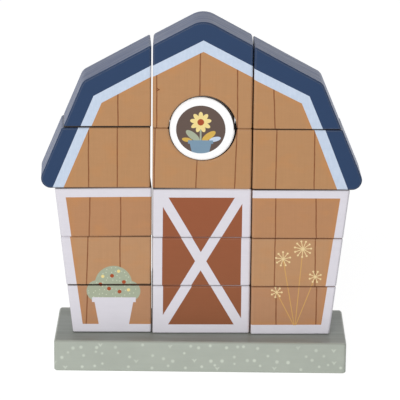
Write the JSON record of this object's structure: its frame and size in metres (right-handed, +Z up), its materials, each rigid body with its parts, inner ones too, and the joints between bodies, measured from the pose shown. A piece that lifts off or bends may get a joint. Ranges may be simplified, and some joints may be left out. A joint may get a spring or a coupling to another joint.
{
  "type": "stacking farm toy",
  "caption": "Wooden stacking barn: painted blocks and a round window disc lift off upright rods in a base board.",
  "frame": {"origin": "on the underside of the base board, below the middle rod", "axes": "+X to the right as seen from the painted front, +Y to the rear, +Z up along the rods"},
  "size_m": [0.2423, 0.079, 0.2667],
  "materials": {
    "base_paint": "satin sage green water-based paint with small pale marks on the front edge",
    "rod_wood": "bare sanded beech",
    "wall_paint": "satin tan paint with printed plank lines and white trim, pale wood tone on the back",
    "door_paint": "satin rust brown paint with a printed white cross-braced door",
    "roof_paint": "satin navy roof edge over tan front with a pale blue band",
    "disc_paint": "satin white paint with a small printed picture"
  },
  "bodies": {
    "base": {"base_board": "base_paint", "left_rod": "rod_wood", "centre_rod": "rod_wood", "right_rod": "rod_wood"},
    "left_wall_1": {"left_wall_1": "wall_paint"},
    "left_wall_2": {"left_wall_2": "wall_paint"},
    "left_wall_3": {"left_wall_3": "wall_paint"},
    "left_roof_lower": {"left_roof_lower": "roof_paint"},
    "left_roof_upper": {"left_roof_upper": "roof_paint"},
    "centre_wall_1": {"centre_wall_1": "door_paint"},
    "centre_wall_2": {"centre_wall_2": "door_paint"},
    "centre_wall_3": {"centre_wall_3": "door_paint"},
    "centre_roof_lower": {"centre_roof_lower": "roof_paint"},
    "window_disc": {"window_disc": "disc_paint"},
    "centre_roof_upper": {"centre_roof_upper": "roof_paint"},
    "right_wall_1": {"right_wall_1": "wall_paint"},
    "right_wall_2": {"right_wall_2": "wall_paint"},
    "right_wall_3": {"right_wall_3": "wall_paint"},
    "right_roof_lower": {"right_roof_lower": "roof_paint"},
    "right_roof_upper": {"right_roof_upper": "roof_paint"}
  },
  "joints": [
    {"name": "lift_left_wall_1", "type": "slide", "parent": "base", "child": "left_wall_1", "axis": [0, 0, 1], "range_m": [0, 0.192]},
    {"name": "lift_left_wall_2", "type": "slide", "parent": "left_wall_1", "child": "left_wall_2", "axis": [0, 0, 1], "range_m": [0, 0.153]},
    {"name": "lift_left_wall_3", "type": "slide", "parent": "left_wall_2", "child": "left_wall_3", "axis": [0, 0, 1], "range_m": [0, 0.115]},
    {"name": "lift_left_roof_lower", "type": "slide", "parent": "left_wall_3", "child": "left_roof_lower", "axis": [0, 0, 1], "range_m": [0, 0.077]},
    {"name": "lift_left_roof_upper", "type": "slide", "parent": "left_roof_lower", "child": "left_roof_upper", "axis": [0, 0, 1], "range_m": [0, 0.03]},
    {"name": "lift_centre_wall_1", "type": "slide", "parent": "base", "child": "centre_wall_1", "axis": [0, 0, 1], "range_m": [0, 0.215]},
    {"name": "lift_centre_wall_2", "type": "slide", "parent": "centre_wall_1", "child": "centre_wall_2", "axis": [0, 0, 1], "range_m": [0, 0.176]},
    {"name": "lift_centre_wall_3", "type": "slide", "parent": "centre_wall_2", "child": "centre_wall_3", "axis": [0, 0, 1], "range_m": [0, 0.138]},
    {"name": "lift_centre_roof_lower", "type": "slide", "parent": "centre_wall_3", "child": "centre_roof_lower", "axis": [0, 0, 1], "range_m": [0, 0.1]},
    {"name": "lift_window_disc", "type": "slide", "parent": "centre_roof_lower", "child": "window_disc", "axis": [0, 0, 1], "range_m": [0, 0.077]},
    {"name": "lift_centre_roof_upper", "type": "slide", "parent": "window_disc", "child": "centre_roof_upper", "axis": [0, 0, 1], "range_m": [0, 0.053]},
    {"name": "lift_right_wall_1", "type": "slide", "parent": "base", "child": "right_wall_1", "axis": [0, 0, 1], "range_m": [0, 0.192]},
    {"name": "lift_right_wall_2", "type": "slide", "parent": "right_wall_1", "child": "right_wall_2", "axis": [0, 0, 1], "range_m": [0, 0.153]},
    {"name": "lift_right_wall_3", "type": "slide", "parent": "right_wall_2", "child": "right_wall_3", "axis": [0, 0, 1], "range_m": [0, 0.115]},
    {"name": "lift_right_roof_lower", "type": "slide", "parent": "right_wall_3", "child": "right_roof_lower", "axis": [0, 0, 1], "range_m": [0, 0.077]},
    {"name": "lift_right_roof_upper", "type": "slide", "parent": "right_roof_lower", "child": "right_roof_upper", "axis": [0, 0, 1], "range_m": [0, 0.03]}
  ]
}
